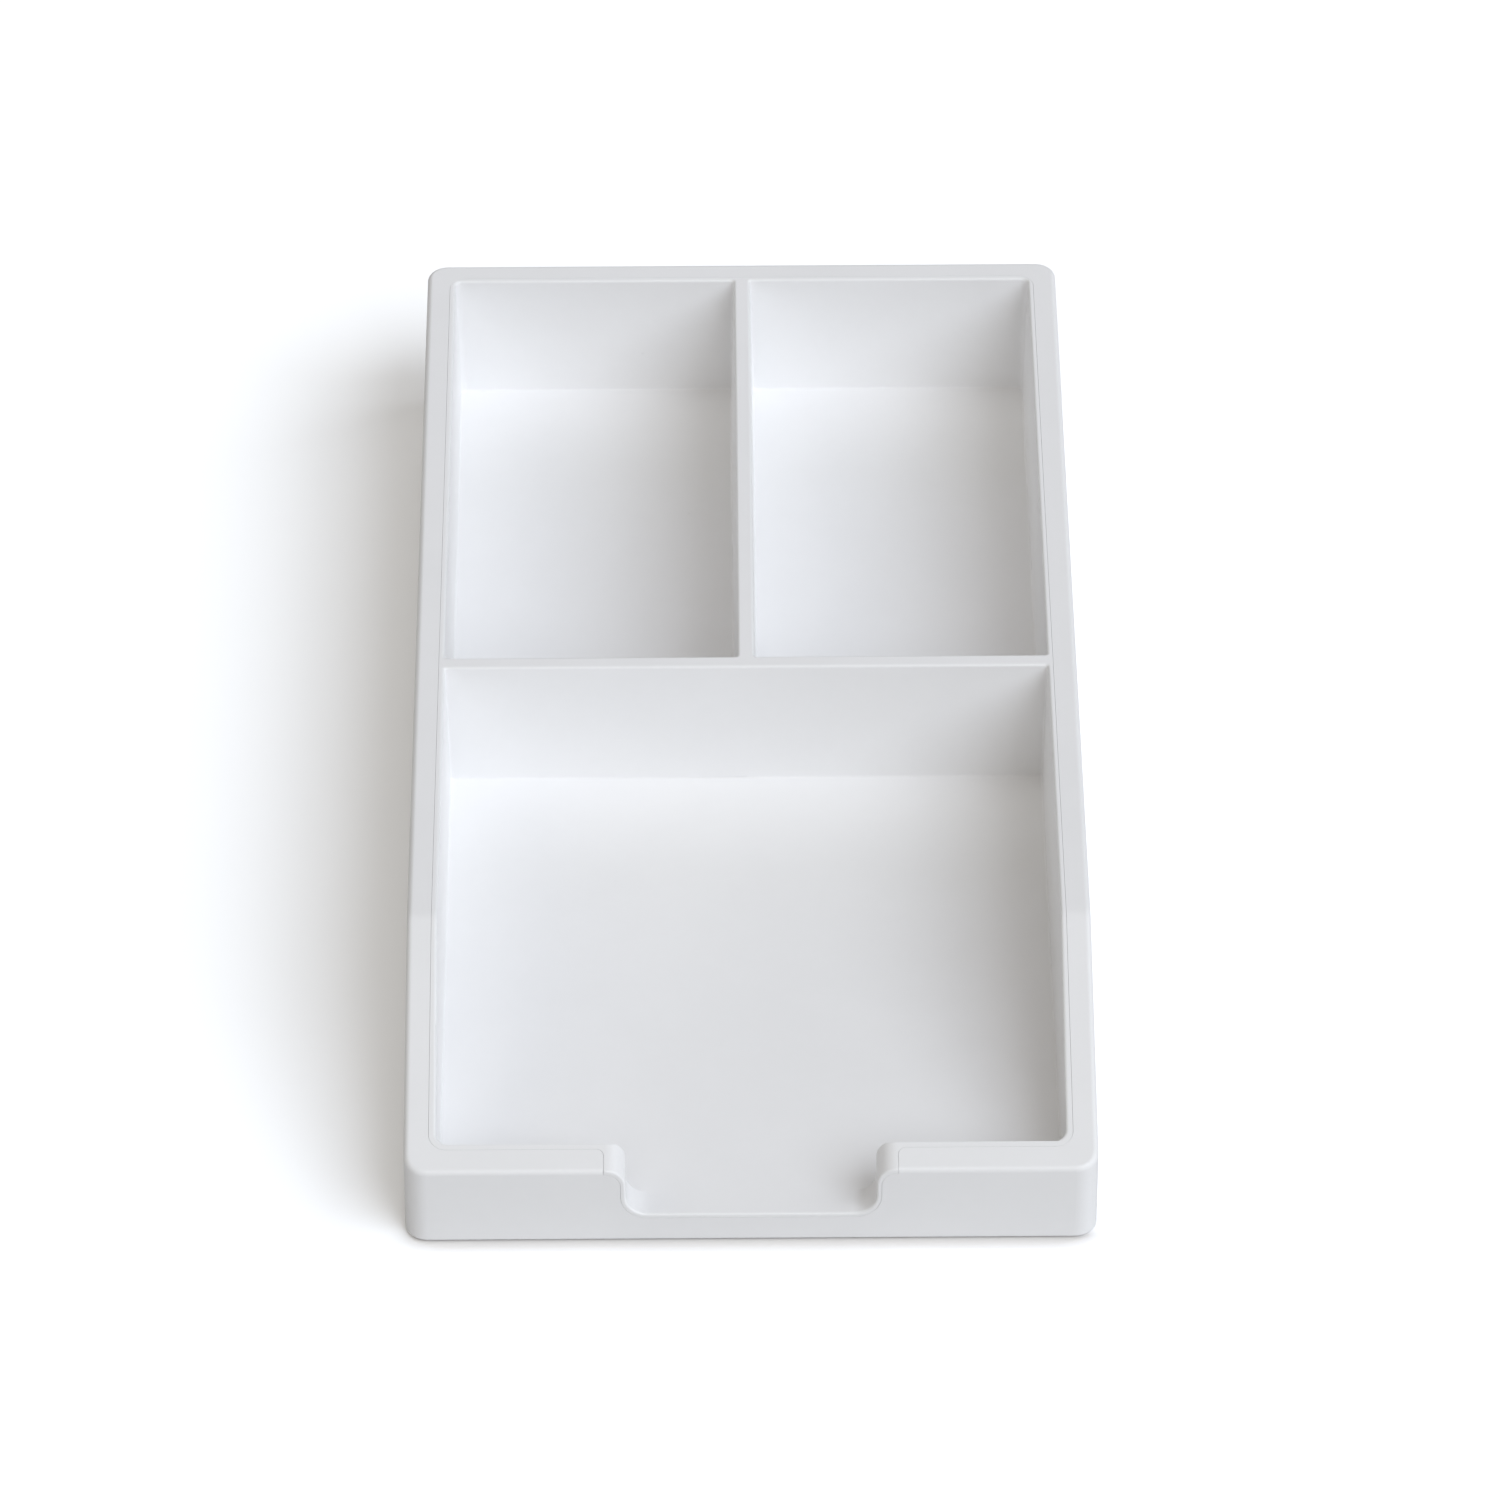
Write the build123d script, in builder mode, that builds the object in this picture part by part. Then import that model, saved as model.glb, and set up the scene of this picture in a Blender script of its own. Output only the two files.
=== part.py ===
"""Pill counting tray: a hollow two-shell moulded tray with two rear bins, a front bin and a pouring notch.

Row frame: +Z up, +X to the tray's right, the notch faces -Y. The origin is the centre of the footprint,
on the table under the feet. All sizes are in millimetres.
"""
import os
from math import atan2, cos, sin, tan

from build123d import *

os.makedirs("parts", exist_ok=True)

# ---- Outer envelope ------------------------------------------------------------------------------
tray_width = 140.0  # outer face to outer face of the skirt, across
tray_length = 280.0  # front face to back face
rear_height = 37.5  # level stretch of the rim above the table
front_height = 19.1  # rim above the table at the front face
slope_run = 57.8  # length of the sloping stretch of the rim, measured from the front face
slope_bend_radius = 6.0  # radius that joins the level rim to the sloping rim
ground_gap = 0.5  # bottom edge of the skirt above the table
corner_radius = 4.5  # upright outer corners
rim_edge_radius = 1.2  # rounding of the rim's outer edge
skirt_edge_radius = 0.5  # rounding of the skirt's bottom outer edge

# ---- Outer shell ---------------------------------------------------------------------------------
skirt_thickness = 2.0
rim_thickness = 2.4  # the rim's flange, top face to underside
rim_width = 6.2  # outer face of the skirt to the bins, at the level rim
lip_width = 1.2  # how much of the rim's width is the liner's edge
seam_gap = 0.05  # hairline between the shell and the liner

# ---- Liner ---------------------------------------------------------------------------------------
floor_thickness = 1.8
spacer_height = 1.1  # ribs and bosses under the floor that stand on the base plate
wall_draft = 1.2  # degrees, every bin wall leans outwards by this
divider_thickness = 3.5  # both dividers, at the level rim
front_bin_length = 131.5  # front bin, front to back, at the level rim
front_corner_radius = 2.6  # upright corners at the front bin's front end
rear_corner_radius = 1.4  # upright outer corners at the rear bins' back end
divider_corner_radius = 0.6  # upright corners where the dividers join
bin_floor_radius = 0.5  # rounding where the walls meet the floor
bin_edge_radius = 0.6  # rounding of the bins' top edges
lip_corner_radius = 3.6  # the liner's outer corners, where the seam turns

# ---- Pouring notch -------------------------------------------------------------------------------
notch_width = 50.6  # between the upright sides
notch_shoulder_radius = 4.0  # convex, from the rim down into the notch
notch_corner_radius = 4.5  # concave, from the side to the sill
notch_lip_thickness = 1.0  # liner material that lines the notch
notch_post_width = 3.6  # solid end of the front wall behind the lip
notch_front_radius = 0.5  # rounding of the lip's front edge
notch_ear_flat = 0.4  # level part of the liner's ear outside the shoulder's curve
notch_ear_corner = 1.5  # plan radius where the seam turns towards the front

# ---- Base, feet and screws -----------------------------------------------------------------------
base_recess = 2.2  # base plate's underside above the skirt's bottom edge
base_thickness = 1.8
base_edge_gap = 0.25  # base plate to the skirt, all round
base_edge_chamfer = 0.4
bead_depth = 0.5  # snap ridges that stand in from the skirt under the base plate
bead_length = 14.0
foot_diameter = 12.0
foot_seat_depth = 0.6  # how far a foot sits up into the base plate
foot_seat_gap = 0.1  # radial, foot to its seat
foot_edge_radius = 0.6
foot_inset = 15.0  # foot's centre in from the tray's side and end
screw_shank_diameter = 2.2
screw_length = 8.0  # under the head
screw_head_diameter = 4.2
screw_head_height = 1.1
screw_slot_width = 0.7  # arms of the cross recess
screw_slot_length = 2.4
screw_slot_depth = 0.6
screw_fit_gap = 0.05  # radial, shank to its pilot hole
screw_pass_gap = 0.15  # radial, shank to the base plate's hole
screw_tip_gap = 0.5  # pilot hole deeper than the screw's tip
screw_boss_wall = 2.1  # bosses under the floor, round each pilot hole
spacer_width = 3.0  # lengthwise ribs under the floor
spacer_spread = 70.0  # between the two lengthwise ribs
spacer_end_gap = 20.0  # from the ribs' ends to the liner's end walls
stop_length = 10.0  # stops on the liner's walls that bear up against the rim's underside
stop_depth = 1.2
stop_height = 3.0

# ---- Worked out from the sizes above -------------------------------------------------------------
front_y = -tray_length / 2
back_y = tray_length / 2
slope_rise = rear_height - front_height
slope_angle = atan2(slope_rise, slope_run)  # in radians
slope_start_y = front_y + slope_run

skirt_width = tray_width - 2 * skirt_thickness  # inside the skirt
skirt_length = tray_length - 2 * skirt_thickness
skirt_inner_radius = max(corner_radius - skirt_thickness, 0.5)

bin_width = tray_width - 2 * rim_width
bin_length = tray_length - 2 * rim_width
window_width = bin_width + 2 * lip_width
window_length = bin_length + 2 * lip_width
window_radius = lip_corner_radius

bin_front_y = front_y + rim_width
cross_divider_y = bin_front_y + front_bin_length + divider_thickness / 2
rear_bin_front_y = cross_divider_y + divider_thickness / 2
rear_bin_back_y = back_y - rim_width
rear_bin_length = rear_bin_back_y - rear_bin_front_y
rear_bin_width = (bin_width - divider_thickness) / 2
rear_bin_x = (rear_bin_width + divider_thickness) / 2

base_bottom = ground_gap + base_recess
base_top = base_bottom + base_thickness
liner_bottom = base_top + spacer_height
floor_height = liner_bottom + floor_thickness  # top of the floor, level with the notch's sill
ear_half_width = notch_width / 2 + notch_shoulder_radius + notch_ear_flat
lip_half_width = notch_width / 2 + notch_lip_thickness
lip_bottom = floor_height - notch_lip_thickness
window_front_y = -window_length / 2

foot_x = tray_width / 2 - foot_inset
foot_y = tray_length / 2 - foot_inset
foot_spots = {
    "front_left": (-foot_x, -foot_y),
    "front_right": (foot_x, -foot_y),
    "rear_left": (-foot_x, foot_y),
    "rear_right": (foot_x, foot_y),
}
rear_bin_y = (rear_bin_front_y + rear_bin_back_y) / 2
near = 0.01  # how close a place has to be when an edge is picked by where it is

stop_x = window_width / 2 - seam_gap
stop_spots = [(side * stop_x, y) for side in (-1, 1) for y in (0.0, tray_length / 4)]
screw_spots = [
    (-rear_bin_x, cross_divider_y),
    (rear_bin_x, cross_divider_y),
    (0.0, rear_bin_front_y + rear_bin_length / 4),
    (0.0, rear_bin_back_y - rear_bin_length / 4),
]


def under_rim(drop):
    """A solid wider than the tray that holds everything under the rim line lowered by drop."""
    reach = corner_radius * 4  # carries the solid past both ends of the tray
    front_top = front_height - drop - reach * tan(slope_angle)
    low = -rear_height
    with BuildPart() as block:
        with BuildSketch(Plane.YZ.offset(-tray_width)):
            with BuildLine():
                rim_line = FilletPolyline(
                    (front_y - reach, front_top),
                    (slope_start_y, rear_height - drop),
                    (back_y + reach, rear_height - drop),
                    radius=slope_bend_radius,
                )
                Polyline(rim_line @ 1, (back_y + reach, low), (front_y - reach, low), rim_line @ 0)
            make_face()
        extrude(amount=2 * tray_width)
    return block.part


def ear_plate(gap, drop):
    """The liner's outline with an ear each side of the notch, grown by gap, as a block above the rim line.

    The block starts drop below the rim line.
    """
    with BuildPart() as plate:
        with BuildSketch(Plane.XY.offset(ground_gap)) as outline:
            RectangleRounded(window_width + 2 * gap, window_length + 2 * gap, window_radius + gap)
            with Locations((0, window_front_y)):
                Rectangle(2 * (ear_half_width + gap), 2 * rim_width)
            turns = outline.vertices().filter_by(
                lambda v: abs(v.Y - window_front_y + gap) < near and abs(v.X) < ear_half_width + gap + near
            )
            fillet(turns, notch_ear_corner)
        extrude(amount=rear_height)
        with Locations((0, window_front_y)):
            Box(tray_width, 4 * rim_width, 4 * rear_height, mode=Mode.INTERSECT)
        add(under_rim(drop), mode=Mode.SUBTRACT)
    return plate.part


def shoulders(half_width, drop, radius, cover):
    """The pair of wedges above a convex shoulder curve that follows the sloping rim beside the notch.

    The curve starts radius outside half_width, drop below the rim, and ends on the upright side at
    half_width. cover is how far the wedges reach above the curve's top.
    """
    slope = Plane(
        origin=(0, front_y, front_height),
        x_dir=(1, 0, 0),
        z_dir=(0, -cos(slope_angle), -sin(slope_angle)),
    )
    top = -drop * cos(slope_angle)
    with BuildPart() as wedges:
        with BuildSketch(slope):
            with BuildLine():
                Line((half_width, top - radius), (half_width, top + cover))
                Line((half_width, top + cover), (half_width + radius, top + cover))
                Line((half_width + radius, top + cover), (half_width + radius, top))
                RadiusArc((half_width + radius, top), (half_width, top - radius), -radius)
            make_face()
        extrude(amount=3 * rim_width, both=True)
        mirror(about=Plane.YZ)
    return wedges.part


def notch_channel(half_width, sill, corner, back):
    """The notch's upright-sided channel, from in front of the tray to the plane y = back."""
    reach = 2 * rim_width
    with BuildPart() as channel:
        with BuildSketch(Plane.XZ.offset(-back)) as profile:
            with Locations((0, sill + rear_height / 2)):
                Rectangle(2 * half_width, rear_height)
            fillet(profile.vertices().group_by(Axis.Z)[0], corner)
        extrude(amount=back - front_y + reach)
    return channel.part


def is_rear_corner(edge):
    """Whether an upright edge of the bins is an outer corner at the tray's back."""
    return edge.center().Y > rear_bin_y and abs(edge.center().X) > rear_bin_x


def is_divider_corner(edge):
    """Whether an upright edge of the bins is at the end of a divider or beside one."""
    return edge.center().Y > bin_front_y + front_bin_length / 2 and not is_rear_corner(edge)


def is_inside_lip(edge):
    """Whether an edge of the liner's top lies within the lip, so not on the liner's outline."""
    return all(
        abs(v.X) < (bin_width + lip_width) / 2 and abs(v.Y) < (bin_length + lip_width) / 2
        for v in edge.vertices()
    )


def is_notch_outline(edge):
    """Whether an edge of the lip's front face borders the notch or its shoulders' tops."""
    return all(
        v.Z > front_height - near or (abs(v.X) < notch_width / 2 + near and v.Z > floor_height - near)
        for v in edge.vertices()
    )


# How a solid sits at its spot: above, below, or above and in front of it, or below and behind it.
upwards = (Align.CENTER, Align.CENTER, Align.MIN)
downwards = (Align.CENTER, Align.CENTER, Align.MAX)
on_floor_in_front = (Align.CENTER, Align.MAX, Align.MIN)
hung_behind = (Align.CENTER, Align.MIN, Align.MAX)

# ---- Outer shell: skirt, rim, snap ridges and the posts beside the notch -------------------------
shell_notch_side = lip_half_width + seam_gap
shell_lip_drop = notch_lip_thickness + seam_gap
post_x = shell_notch_side + notch_post_width / 2
post_length = window_front_y - front_y - skirt_thickness
bead_reach = skirt_length / 2 - 2 * foot_inset  # from the middle of a side to its last snap ridge
bead_spots = [
    Location((side * skirt_width / 2, share * bead_reach, base_bottom), (0, 0, 90 * side))
    for side in (-1, 1)
    for share in (-1, -1 / 3, 1 / 3, 1)
]

with BuildPart() as shell_hollow:
    with BuildSketch():
        RectangleRounded(skirt_width, skirt_length, skirt_inner_radius)
    extrude(amount=rear_height)
    add(under_rim(rim_thickness), mode=Mode.INTERSECT)
    with Locations(*[(side * post_x, window_front_y, base_top + base_edge_gap) for side in (-1, 1)]):
        Box(notch_post_width, post_length, rear_height, align=on_floor_in_front, mode=Mode.SUBTRACT)

with BuildPart() as bead:
    Box(bead_length, bead_depth + skirt_thickness / 2, bead_depth, align=hung_behind)
    lower_edge = bead.edges().filter_by(Axis.X).sort_by(lambda e: e.center().Z - e.center().Y)[0]
    chamfer(lower_edge, bead_depth / 2)

with BuildPart() as outer_shell:
    with BuildSketch(Plane.XY.offset(ground_gap)):
        RectangleRounded(tray_width, tray_length, corner_radius)
    extrude(amount=rear_height - ground_gap)
    add(under_rim(0), mode=Mode.INTERSECT)
    top_faces = outer_shell.faces().filter_by(lambda f: f.normal_at().Z > 0.5)
    outer_edges = [e for e in top_faces.edges() if sum(e in f.edges() for f in top_faces) == 1]
    fillet(outer_edges, rim_edge_radius)
    fillet(outer_shell.faces().sort_by(Axis.Z)[0].edges(), skirt_edge_radius)
    add(shell_hollow.part, mode=Mode.SUBTRACT)
    with BuildSketch(Plane.XY.offset(base_top)):
        RectangleRounded(window_width, window_length, window_radius)
    extrude(amount=rear_height, mode=Mode.SUBTRACT)
    shell_notch_sill = lip_bottom - seam_gap
    shell_notch_corner = notch_corner_radius + shell_lip_drop
    shell_shoulder = notch_shoulder_radius - shell_lip_drop
    channel = notch_channel(shell_notch_side, shell_notch_sill, shell_notch_corner, window_front_y)
    add(channel, mode=Mode.SUBTRACT)
    add(ear_plate(0, shell_lip_drop), mode=Mode.SUBTRACT)
    add(shoulders(shell_notch_side, shell_lip_drop, shell_shoulder, notch_lip_thickness), mode=Mode.SUBTRACT)
    with Locations(*bead_spots):
        add(bead.part)

# ---- Inner tray: liner with its bins, dividers, notch lip, screw bosses and stops ----------------
with BuildPart() as bins:
    with BuildSketch(Plane.XY.offset(rear_height)):
        with Locations((0, bin_front_y + front_bin_length / 2)):
            Rectangle(bin_width, front_bin_length)
        with Locations((-rear_bin_x, rear_bin_y), (rear_bin_x, rear_bin_y)):
            Rectangle(rear_bin_width, rear_bin_length)
    extrude(amount=-(rear_height - floor_height), taper=wall_draft)
    corners = bins.edges().filter_by(lambda e: e.bounding_box().size.Z > near)
    fillet(corners.filter_by(is_divider_corner), divider_corner_radius)
    fillet(corners.filter_by(is_rear_corner), rear_corner_radius)
    fillet(corners.group_by(Axis.Y)[0], front_corner_radius)
    fillet(bins.faces().filter_by(lambda f: f.normal_at().Z < -0.9).edges(), bin_floor_radius)

with BuildPart() as notch_lip:
    with Locations((0, bin_front_y, lip_bottom)):
        Box(2 * lip_half_width, rim_width, rear_height, align=on_floor_in_front)
    fillet(notch_lip.edges().filter_by(Axis.Y).group_by(Axis.Z)[0], notch_corner_radius + notch_lip_thickness)
    add(shoulders(lip_half_width, notch_lip_thickness, notch_shoulder_radius - notch_lip_thickness, seam_gap))
    add(ear_plate(-seam_gap, notch_lip_thickness))
    with Locations((0, bin_front_y, 0)):
        Box(tray_width, rim_width, rear_height, align=on_floor_in_front, mode=Mode.INTERSECT)
    add(under_rim(0), mode=Mode.INTERSECT)

with BuildPart() as inner_tray:
    with BuildSketch(Plane.XY.offset(liner_bottom)):
        RectangleRounded(window_width - 2 * seam_gap, window_length - 2 * seam_gap, window_radius - seam_gap)
    extrude(amount=rear_height)
    add(under_rim(0), mode=Mode.INTERSECT)
    add(bins.part, mode=Mode.SUBTRACT)
    top_faces = inner_tray.faces().filter_by(lambda f: f.normal_at().Z > 0.9 and f.center().Z > front_height)
    rim_edges = [e for e in top_faces.edges() if sum(e in f.edges() for f in top_faces) == 1]
    fillet([e for e in rim_edges if is_inside_lip(e)], bin_edge_radius)
    add(notch_lip.part)
    notch_back = bin_front_y + 4 * bin_floor_radius  # past the wall's draft and its rounding at the floor
    add(notch_channel(notch_width / 2, floor_height, notch_corner_radius, notch_back), mode=Mode.SUBTRACT)
    add(shoulders(notch_width / 2, 0, notch_shoulder_radius, notch_shoulder_radius), mode=Mode.SUBTRACT)
    front_face = inner_tray.faces().filter_by(Axis.Y).sort_by(Axis.Y)[0]
    fillet([e for e in front_face.edges() if is_notch_outline(e)], notch_front_radius)
    # Ribs and bosses under the floor stand on the base plate; stops bear up against the rim's underside.
    with Locations((-spacer_spread / 2, 0, base_top), (spacer_spread / 2, 0, base_top)):
        Box(spacer_width, window_length - 2 * spacer_end_gap, spacer_height, align=upwards)
    pilot_radius = screw_shank_diameter / 2 + screw_fit_gap
    pilot_depth = screw_length - base_thickness + screw_tip_gap
    with Locations(*[(x, y, base_top) for x, y in screw_spots]):
        Cylinder(screw_shank_diameter / 2 + screw_boss_wall, spacer_height, align=upwards)
        Cylinder(pilot_radius, pilot_depth, align=upwards, mode=Mode.SUBTRACT)
    with Locations(*[(x, y, rear_height - rim_thickness) for x, y in stop_spots]):
        Box(stop_depth * 2, stop_length, stop_height, align=downwards)
    add(bins.part, mode=Mode.SUBTRACT)

# ---- Base plate ----------------------------------------------------------------------------------
with BuildPart() as base_plate:
    with BuildSketch(Plane.XY.offset(base_bottom)):
        RectangleRounded(
            skirt_width - 2 * base_edge_gap,
            skirt_length - 2 * base_edge_gap,
            skirt_inner_radius - base_edge_gap,
        )
    extrude(amount=base_thickness)
    chamfer(base_plate.faces().sort_by(Axis.Z)[0].edges(), base_edge_chamfer)
    with Locations(*[(x, y, base_bottom) for x, y in foot_spots.values()]):
        Cylinder(foot_diameter / 2 + foot_seat_gap, foot_seat_depth, align=upwards, mode=Mode.SUBTRACT)
    with Locations(*[(x, y, base_bottom) for x, y in screw_spots]):
        Cylinder(screw_shank_diameter / 2 + screw_pass_gap, base_thickness, align=upwards, mode=Mode.SUBTRACT)

# ---- Feet and screws -----------------------------------------------------------------------------
def make_foot(x, y):
    """A rubber pad from the table up into its seat in the base plate."""
    with BuildPart() as foot:
        with BuildSketch():
            with Locations((x, y)):
                Circle(foot_diameter / 2)
        extrude(amount=base_bottom + foot_seat_depth)
        fillet(foot.faces().sort_by(Axis.Z)[0].edges(), foot_edge_radius)
    return foot


def make_screw(x, y):
    """A pan-head screw with a cross recess, its head against the base plate's underside."""
    with BuildPart() as screw:
        with Locations((x, y, base_bottom)):
            Cylinder(screw_head_diameter / 2, screw_head_height, align=downwards)
        fillet(screw.faces().sort_by(Axis.Z)[0].edges(), screw_head_height / 2)
        with Locations((x, y, base_bottom)):
            Cylinder(screw_shank_diameter / 2, screw_length, align=upwards)
        chamfer(screw.faces().sort_by(Axis.Z)[-1].edges(), screw_shank_diameter / 4)
        with Locations((x, y, base_bottom - screw_head_height)):
            Box(screw_slot_length, screw_slot_width, 2 * screw_slot_depth, mode=Mode.SUBTRACT)
            Box(screw_slot_width, screw_slot_length, 2 * screw_slot_depth, mode=Mode.SUBTRACT)
    return screw


pieces = {"outer_shell": outer_shell, "inner_tray": inner_tray, "base_plate": base_plate}
for place, (x, y) in foot_spots.items():
    pieces[f"foot_{place}"] = make_foot(x, y)
for number, (x, y) in enumerate(screw_spots, start=1):
    pieces[f"base_screw_{number}"] = make_screw(x, y)

for name, piece in pieces.items():
    piece.part.label = name
    export_step(piece.part, f"parts/{name}.step")
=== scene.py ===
"""Looks for the pill counting tray: satin white plastics, rubber feet and zinc screws on a pale studio floor.

Everything is in metres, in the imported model's frame: +Z up, the pouring notch faces -Y.
"""

from math import cos, radians, sin

import bpy
from mathutils import Matrix, Vector


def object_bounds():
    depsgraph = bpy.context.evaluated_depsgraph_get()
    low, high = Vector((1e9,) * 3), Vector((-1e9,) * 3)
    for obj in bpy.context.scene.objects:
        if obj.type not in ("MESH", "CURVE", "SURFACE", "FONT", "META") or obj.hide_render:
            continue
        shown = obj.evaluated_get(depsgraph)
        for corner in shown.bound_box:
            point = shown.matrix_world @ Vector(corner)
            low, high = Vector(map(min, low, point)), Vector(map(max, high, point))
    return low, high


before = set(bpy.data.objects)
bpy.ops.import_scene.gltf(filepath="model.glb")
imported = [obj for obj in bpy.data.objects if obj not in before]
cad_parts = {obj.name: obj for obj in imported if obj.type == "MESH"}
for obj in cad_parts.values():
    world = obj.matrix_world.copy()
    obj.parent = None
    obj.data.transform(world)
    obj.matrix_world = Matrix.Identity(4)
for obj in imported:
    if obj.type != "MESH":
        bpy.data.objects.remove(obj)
cad_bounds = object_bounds()

MM = 0.001

# ---- Camera: a long lens from the front, looking down on the tray --------------------------------
CAMERA_ELEVATION = radians(39.80)
CAMERA_HEADING = radians(0.36)
CAMERA_ROLL = radians(-0.118)
CAMERA_DISTANCE = 1.939
CAMERA_AIM = Vector((0.0009, 0.0133, 0.0015))  # from the centre of the tray's footprint
LENS = 216.13
SENSOR = 36.0
CLIP_END = 100.0  # past the farthest corner of the floor

# ---- Light: far soft lamps round the tray, the key at its front right ----------------------------
LAMPS = {
    # name: (azimuth counter-clockwise from +X, elevation, angular width, strength, colour)
    "key_front_right": (-45, 44, 45, 1.60, (0.865, 0.92, 1.0)),
    "side_right": (0, 35, 45, 0.52, (0.92, 0.95, 1.0)),
    "fill_front": (-90, 48, 45, 0.43, (1.0, 0.95, 0.90)),
    "fill_left": (180, 45, 30, 0.25, (1.0, 0.93, 0.80)),
    "fill_back": (90, 30, 30, 0.19, (0.82, 0.85, 1.0)),
}
SKY_LEVEL = 0.18
SKY_COLOUR = (1.0, 0.97, 0.92)

# ---- Floor: it blows out to white, while it lights the tray as white card would ------------------
FLOOR_SIZE = 40.0
FLOOR_COLOUR = (1.412, 1.43, 1.452)  # tinted to even out the warm light in the tray's shadow
FLOOR_BOUNCE = (0.75, 0.75, 0.75)
FLOOR_GAP = 0.05 * MM  # between the floor that is seen and the one that bounces light
FLOOR_PATCH = 0.5  # size of the patches that are a trace darker
FLOOR_PATCH_TONE = 0.99
CONTACT_REACH = 8.0 * MM  # how far from the tray the soft contact shadow, painted into the floor's colour, starts to form
CONTACT_FADE = 4.0 * MM  # how far behind the tray's front face it has faded out
CONTACT_OPENNESS = (0.5, 0.95)  # share of open sky at the tray's front edge, and where the shadow ends
PAINTED_SHADOW_COLOUR = (0.605, 0.58, 0.555, 1)  # what the painted contact shadow leaves of the floor's colour at the front edge

# ---- Plastic -------------------------------------------------------------------------------------
WHITE = (0.932, 0.932, 0.936)
PLASTIC_IOR = 1.49
EDGE_WIDTH = 0.5 * MM  # how far an edge's polish reaches
EDGE_TURN = (0.995, 0.93)  # cosine of the surface's turn where the polish starts, and where it is full
EDGE_POLISH = 0.10  # how much less rough the edges are
MOTTLING_SIZE = 24 * MM
MOTTLING_TONE = 0.988
FINE_MOTTLING_SIZE = 1.6 * MM
FINE_MOTTLING_TONE = 0.996
CLOUD_SIZE = 7 * MM  # patches that are a little more or less rough
CLOUD_ROUGHNESS = (-0.04, 0.05)
GRAIN_CRISPNESS = 0.6
SPECK_SPACING = 11 * MM
SPECK_RADIUS = 0.09 * MM
SPECK_CHANCE = (0.45, 1.0)  # a cell's random number where specks start, and where they are largest
SPECK_SPREAD = 1.6  # the largest speck's radius before its soft rim, as a multiple of SPECK_RADIUS
SPECK_RIM = 0.5  # the soft rim's width, as a share of SPECK_RADIUS
SPECK_TONE = 0.5
SCRATCH_WIDTH = 0.25 * MM
SCRATCH_DEPTH = 0.004 * MM
SCRATCH_STRETCH = 0.004  # how much slower the scratches' noise changes along them than across
SCRATCH_TURNS = (0.5, -0.9)  # the two ways that they run, in radians about +Z
SCRATCH_NOISE = (0.66, 0.74)  # the noise where a scratch starts, and where it is deepest
SCRATCH_PATCH = 30 * MM
SCRATCH_PATCH_NOISE = (0.45, 0.7)

# ---- Rubber and steel ----------------------------------------------------------------------------
RUBBER_GREY = (0.40, 0.402, 0.405, 1)
RUBBER_ROUGHNESS = (0.62, 0.8)
DUST_SIZE = 1.2 * MM
DUST_TONE = 0.8
PEBBLE_SIZE = 0.35 * MM
PEBBLE_DEPTH = 0.03 * MM
ZINC = (0.60, 0.61, 0.63, 1)
ZINC_ROUGHNESS = (0.28, 0.42)
PLATING_CLOUD_SIZE = 0.9 * MM
PLATING_CLOUD_TONE = 0.82
TURNING_MARK_SIZE = 0.12 * MM
TURNING_MARK_STRETCH = (1, 1, 8)  # finer along the screw than round it
TURNING_MARK_DEPTH = 0.006 * MM


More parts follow.
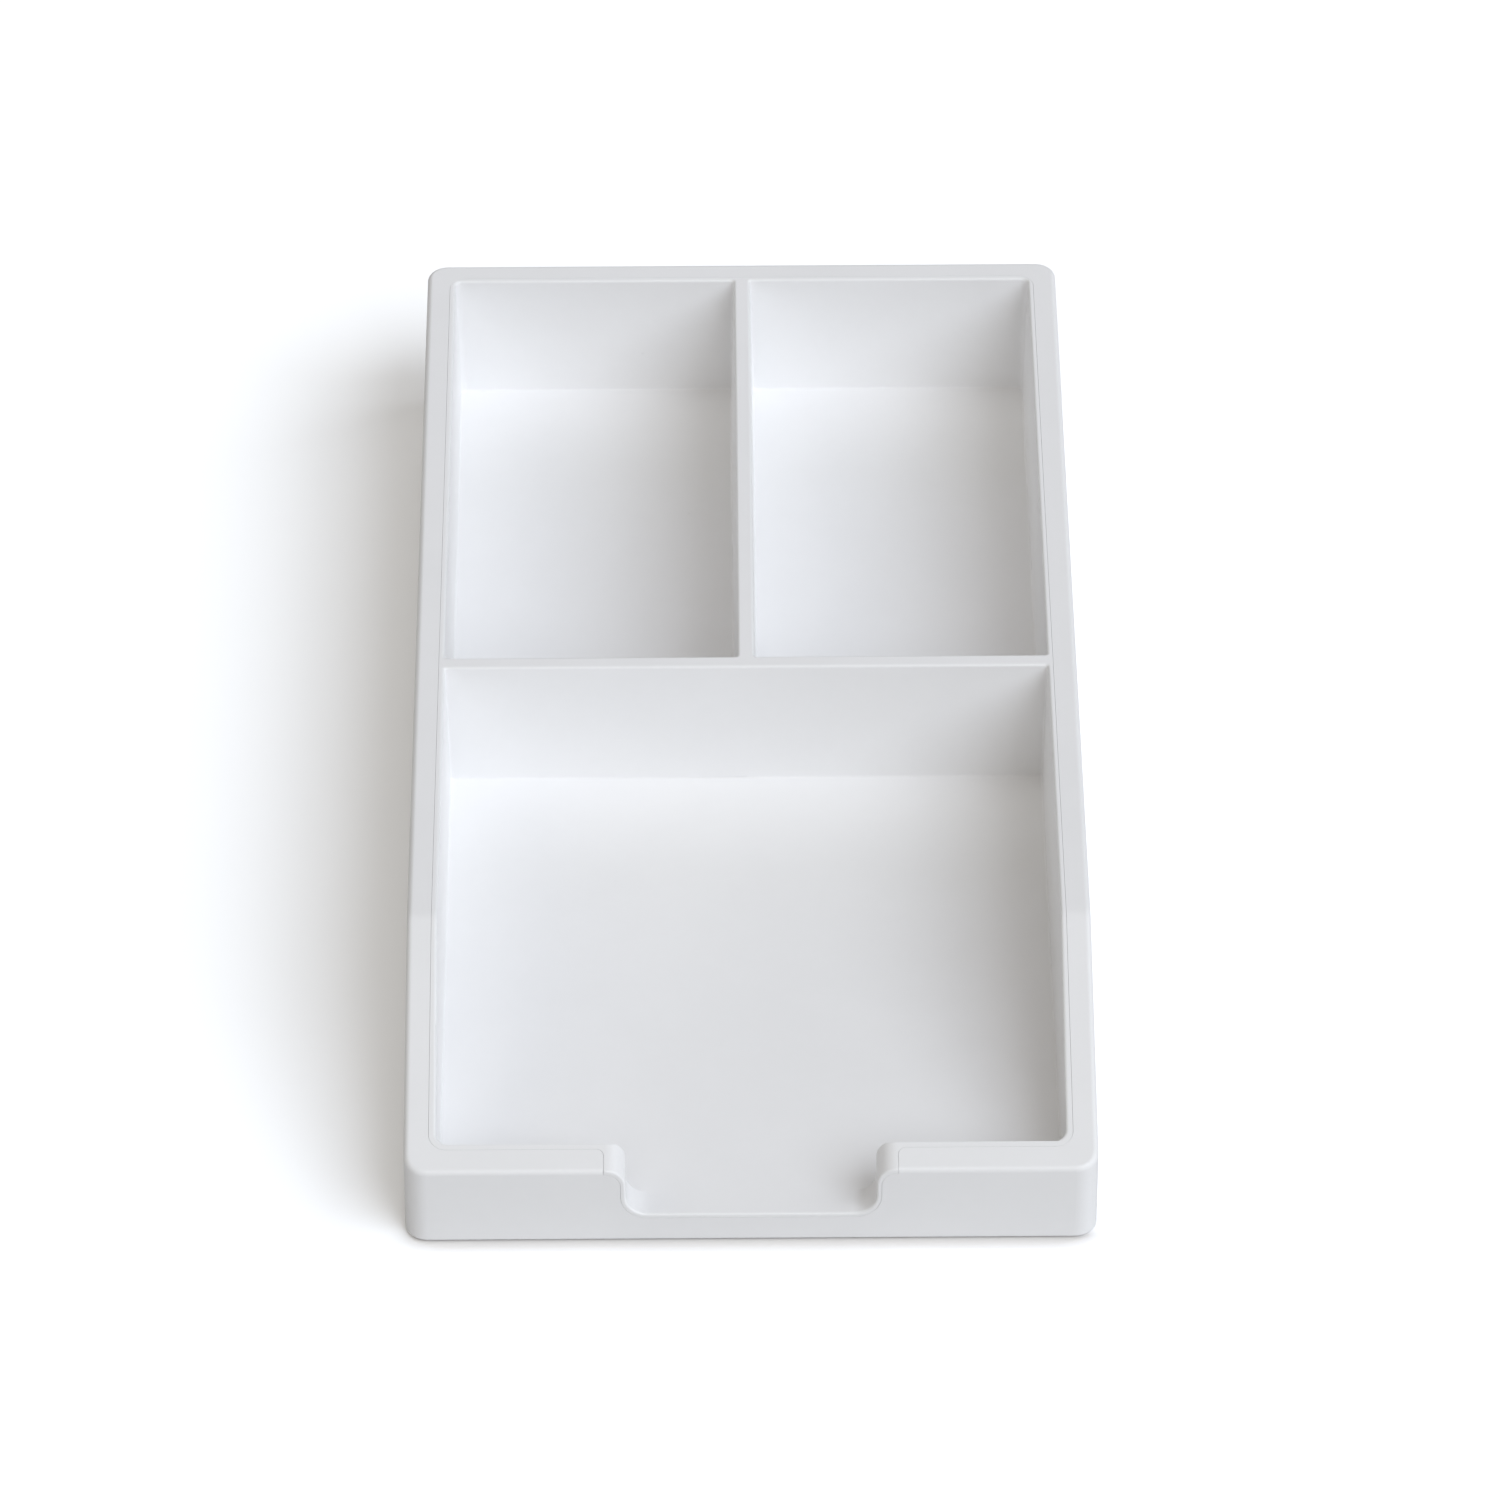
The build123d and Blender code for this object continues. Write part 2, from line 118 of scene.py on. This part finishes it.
class Shader:
    """A node tree for one material, with short calls for the nodes used here."""

    def __init__(self, name):
        self.material = bpy.data.materials.new(name)
        self.material.use_nodes = True
        self.nodes = self.material.node_tree.nodes
        self.links = self.material.node_tree.links
        self.surface = self.nodes["Principled BSDF"]
        self.place = self.nodes.new("ShaderNodeTexCoord").outputs["Object"]

    def link(self, value, socket):
        """Sends a node's output, or a plain number or colour, to a socket."""
        if isinstance(value, bpy.types.NodeSocket):
            self.links.new(value, socket)
        else:
            socket.default_value = value

    def math(self, operation, a, b):
        node = self.nodes.new("ShaderNodeMath")
        node.operation = operation
        self.link(a, node.inputs[0])
        self.link(b, node.inputs[1])
        return node.outputs[0]

    def stretched(self, scale, turn=0.0):
        """The object's own coordinates, turned about +Z and scaled, for textures that run one way."""
        node = self.nodes.new("ShaderNodeMapping")
        node.inputs["Rotation"].default_value = (0, 0, turn)
        node.inputs["Scale"].default_value = scale
        self.links.new(self.place, node.inputs["Vector"])
        return node.outputs["Vector"]

    def noise(self, size, detail=2.0, roughness=0.5, place=None):
        """Noise with features about size metres across, from 0 to 1."""
        node = self.nodes.new("ShaderNodeTexNoise")
        node.inputs["Scale"].default_value = 1.0 / size
        node.inputs["Detail"].default_value = detail
        node.inputs["Roughness"].default_value = roughness
        self.links.new(place or self.place, node.inputs["Vector"])
        return node.outputs["Fac"]

    def spots(self, spacing, radius):
        """Round spots about radius metres in radius, in some of the cells that are spacing metres wide."""
        node = self.nodes.new("ShaderNodeTexVoronoi")
        node.inputs["Scale"].default_value = 1.0 / spacing
        self.links.new(self.place, node.inputs["Vector"])
        chance = self.nodes.new("ShaderNodeSeparateColor")
        self.links.new(node.outputs["Color"], chance.inputs["Color"])
        spotted = self.ramp(chance.outputs["Red"], *SPECK_CHANCE)
        reach = self.math("MULTIPLY", spotted, SPECK_SPREAD * radius / spacing)
        inside = self.math("SUBTRACT", reach, node.outputs["Distance"])
        return self.ramp(inside, 0.0, SPECK_RIM * radius / spacing)

    def ramp(self, value, low, high, out_low=0.0, out_high=1.0):
        """value from low..high, made to run smoothly from out_low to out_high."""
        node = self.nodes.new("ShaderNodeMapRange")
        node.interpolation_type = "SMOOTHSTEP"
        ends = {"From Min": low, "From Max": high, "To Min": out_low, "To Max": out_high}
        for socket, number in ends.items():
            node.inputs[socket].default_value = number
        self.link(value, node.inputs["Value"])
        return node.outputs["Result"]

    def tinted(self, colour, share, factor):
        """colour, with share of it multiplied by factor, which is a number or a colour."""
        node = self.nodes.new("ShaderNodeMix")
        node.data_type = "RGBA"
        node.blend_type = "MULTIPLY"
        self.link(share, node.inputs["Factor"])
        self.link(colour, node.inputs["A"])
        self.link(factor if isinstance(factor, tuple) else (factor, factor, factor, 1), node.inputs["B"])
        return node.outputs["Result"]

    def edges(self):
        """1 on rounded and sharp edges, 0 on the flats beside them."""
        bevel = self.nodes.new("ShaderNodeBevel")
        bevel.samples = 4
        bevel.inputs["Radius"].default_value = EDGE_WIDTH
        flat = self.nodes.new("ShaderNodeNewGeometry")
        dot = self.nodes.new("ShaderNodeVectorMath")
        dot.operation = "DOT_PRODUCT"
        self.links.new(bevel.outputs["Normal"], dot.inputs[0])
        self.links.new(flat.outputs["Normal"], dot.inputs[1])
        return self.ramp(dot.outputs["Value"], *EDGE_TURN)

    def hairlines(self):
        """Long faint scratches that run two ways, in scattered patches."""
        patches = self.ramp(self.noise(SCRATCH_PATCH), *SCRATCH_PATCH_NOISE)
        strands = []
        for turn in SCRATCH_TURNS:
            along = self.stretched((SCRATCH_STRETCH, 1, 1), turn)
            strands.append(self.ramp(self.noise(SCRATCH_WIDTH, detail=1.0, place=along), *SCRATCH_NOISE))
        return self.math("MULTIPLY", self.math("MAXIMUM", *strands), patches)

    def bump(self, height, depth, below=None):
        """A bump whose height, 0 to 1, stands for depth metres, on top of the bump below it."""
        node = self.nodes.new("ShaderNodeBump")
        node.inputs["Strength"].default_value = 1.0
        node.inputs["Distance"].default_value = depth
        self.links.new(height, node.inputs["Height"])
        if below is not None:
            self.links.new(below, node.inputs["Normal"])
        return node.outputs["Normal"]


def moulded_plastic(name, roughness, grain_size, grain_depth, scuffs):
    """White moulded plastic: fine grain, faint mottling, stray specks, hairline scuffs, polished edges."""
    shader = Shader(name)
    edge = shader.edges()
    mottling = shader.ramp(shader.noise(MOTTLING_SIZE, detail=3.0), 0.35, 0.65)
    fine_mottling = shader.ramp(shader.noise(FINE_MOTTLING_SIZE), 0.3, 0.7)
    specks = shader.spots(SPECK_SPACING, SPECK_RADIUS)
    hairlines = shader.hairlines()

    tone = shader.tinted(WHITE + (1,), mottling, MOTTLING_TONE)
    tone = shader.tinted(tone, fine_mottling, FINE_MOTTLING_TONE)
    tone = shader.tinted(tone, specks, SPECK_TONE)
    shader.link(tone, shader.surface.inputs["Base Color"])

    smoother, rougher = (roughness + change for change in CLOUD_ROUGHNESS)
    cloud = shader.ramp(shader.noise(CLOUD_SIZE, detail=4.0), 0.25, 0.75, smoother, rougher)
    worn = shader.math("SUBTRACT", cloud, shader.math("MULTIPLY", edge, EDGE_POLISH))
    scratched = shader.math("ADD", worn, shader.math("MULTIPLY", hairlines, scuffs))
    shader.link(scratched, shader.surface.inputs["Roughness"])

    grain = shader.bump(shader.noise(grain_size, detail=3.0, roughness=GRAIN_CRISPNESS), grain_depth)
    lines = shader.bump(hairlines, -SCRATCH_DEPTH * scuffs, below=grain)
    shader.link(lines, shader.surface.inputs["Normal"])
    shader.surface.inputs["IOR"].default_value = PLASTIC_IOR
    return shader.material


def rubber(name):
    """Matt grey rubber with a pebbled skin and a little dust."""
    shader = Shader(name)
    dust = shader.ramp(shader.noise(DUST_SIZE, detail=4.0), 0.45, 0.7)
    shader.link(shader.tinted(RUBBER_GREY, dust, DUST_TONE), shader.surface.inputs["Base Color"])
    shader.link(shader.ramp(dust, 0, 1, *RUBBER_ROUGHNESS), shader.surface.inputs["Roughness"])
    shader.link(shader.bump(shader.noise(PEBBLE_SIZE), PEBBLE_DEPTH), shader.surface.inputs["Normal"])
    return shader.material


def zinc_steel(name):
    """Zinc-plated steel with turning marks and cloudy plating."""
    shader = Shader(name)
    cloud = shader.ramp(shader.noise(PLATING_CLOUD_SIZE, detail=4.0), 0.3, 0.7)
    marks = shader.noise(TURNING_MARK_SIZE, place=shader.stretched(TURNING_MARK_STRETCH))
    shader.link(shader.tinted(ZINC, cloud, PLATING_CLOUD_TONE), shader.surface.inputs["Base Color"])
    shader.link(shader.ramp(cloud, 0, 1, *ZINC_ROUGHNESS), shader.surface.inputs["Roughness"])
    shader.link(shader.bump(marks, TURNING_MARK_DEPTH), shader.surface.inputs["Normal"])
    shader.surface.inputs["Metallic"].default_value = 1.0
    return shader.material


def finish_nodes():
    """Gives every CAD node the procedural material that stands for the slot it was packed with."""
    finishes = {
        "shell_white": moulded_plastic("shell_white", 0.40, 0.35 * MM, 0.004 * MM, scuffs=0.12),
        "liner_white": moulded_plastic("liner_white", 0.34, 0.30 * MM, 0.003 * MM, scuffs=0.10),
        "base_white": moulded_plastic("base_white", 0.52, 0.45 * MM, 0.010 * MM, scuffs=0.15),
        "foot_rubber": rubber("foot_rubber"),
        "screw_steel": zinc_steel("screw_steel"),
    }
    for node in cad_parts.values():
        for slot in node.material_slots:
            slot.material = finishes[slot.material.name.split(".")[0]]


def painted_contact_shadow(shader):
    """Painted shadow: how much the tray hems in the floor in front of it, from 0 in the open to 1 at its
    front edge.
    """
    occlusion = shader.nodes.new("ShaderNodeAmbientOcclusion")
    occlusion.samples = 16
    occlusion.inputs["Distance"].default_value = CONTACT_REACH
    hemmed_in = shader.ramp(occlusion.outputs["AO"], *CONTACT_OPENNESS, 1.0, 0.0)
    axes = shader.nodes.new("ShaderNodeSeparateXYZ")
    shader.links.new(shader.place, axes.inputs["Vector"])
    front_y = cad_bounds[0][1]
    in_front = shader.ramp(axes.outputs["Y"], front_y + CONTACT_FADE, front_y)
    return shader.math("MULTIPLY", hemmed_in, in_front)


def make_floor(name, height, colour, contact=False):
    """A plain matt floor, hardly uneven in tone, with or without the contact shadow painted into its colour
    before the tray.
    """
    half = FLOOR_SIZE / 2
    corners = [(x, y, height) for x, y in ((-half, -half), (half, -half), (half, half), (-half, half))]
    mesh = bpy.data.meshes.new(name)
    mesh.from_pydata(corners, [], [(0, 1, 2, 3)])
    floor = bpy.data.objects.new(name, mesh)
    bpy.context.scene.collection.objects.link(floor)
    shader = Shader(name)
    matt = shader.nodes.new("ShaderNodeBsdfDiffuse")
    tone = shader.tinted(colour + (1,), shader.noise(FLOOR_PATCH), FLOOR_PATCH_TONE)
    if contact:
        # painted shade: the floor's colour is darkened towards the tray's front edge as a contact shadow
        tone = shader.tinted(tone, painted_contact_shadow(shader), PAINTED_SHADOW_COLOUR)
    shader.link(tone, matt.inputs["Color"])
    shader.links.new(matt.outputs["BSDF"], shader.nodes["Material Output"].inputs["Surface"])
    shader.nodes.remove(shader.surface)
    mesh.materials.append(shader.material)
    return floor


def make_floors():
    """The floor that is seen, and one just under it that only lights the tray from below."""
    seen = make_floor("floor", 0.0, FLOOR_COLOUR, contact=True)
    seen.visible_diffuse = False
    seen.visible_glossy = False
    seen.visible_transmission = False
    seen.visible_shadow = False
    bounce = make_floor("floor_bounce", -FLOOR_GAP, FLOOR_BOUNCE)
    bounce.visible_camera = False


def make_lamps():
    """The sun lamps of LAMPS, each one metre from the tray on the side that its light comes from."""
    for name, (azimuth, elevation, width, strength, colour) in LAMPS.items():
        light = bpy.data.lights.new(name, "SUN")
        light.energy = strength
        light.angle = radians(width)
        light.color = colour
        lamp = bpy.data.objects.new(name, light)
        a, e = radians(azimuth), radians(elevation)
        towards = Vector((cos(a) * cos(e), sin(a) * cos(e), sin(e)))
        lamp.rotation_euler = towards.to_track_quat("Z", "Y").to_euler()
        lamp.location = towards
        bpy.context.scene.collection.objects.link(lamp)


def make_world():
    """A dim even sky."""
    world = bpy.data.worlds.new("studio")
    world.use_nodes = True
    background = world.node_tree.nodes["Background"]
    background.inputs["Color"].default_value = SKY_COLOUR + (1,)
    background.inputs["Strength"].default_value = SKY_LEVEL
    bpy.context.scene.world = world


def make_camera():
    """The camera in front of the tray, turned by the heading, elevation and roll above."""
    data = bpy.data.cameras.new("camera")
    data.lens = LENS
    data.sensor_width = SENSOR
    data.clip_end = CLIP_END
    camera = bpy.data.objects.new("camera", data)
    bpy.context.scene.collection.objects.link(camera)
    ahead = Vector((
        sin(CAMERA_HEADING) * cos(CAMERA_ELEVATION),
        cos(CAMERA_HEADING) * cos(CAMERA_ELEVATION),
        -sin(CAMERA_ELEVATION),
    ))
    level_right = Vector((cos(CAMERA_HEADING), -sin(CAMERA_HEADING), 0))
    level_up = level_right.cross(ahead)
    right = cos(CAMERA_ROLL) * level_right + sin(CAMERA_ROLL) * level_up
    up = -sin(CAMERA_ROLL) * level_right + cos(CAMERA_ROLL) * level_up
    low, high = cad_bounds
    footprint_centre = Vector(((low[0] + high[0]) / 2, (low[1] + high[1]) / 2, low[2]))
    spot = footprint_centre + CAMERA_AIM - CAMERA_DISTANCE * ahead
    turn = Matrix((right, up, -ahead)).transposed().to_4x4()
    camera.matrix_world = Matrix.Translation(spot) @ turn
    bpy.context.scene.camera = camera


finish_nodes()
make_floors()
make_camera()
make_world()
make_lamps()
bpy.context.scene.view_settings.view_transform = "Standard"
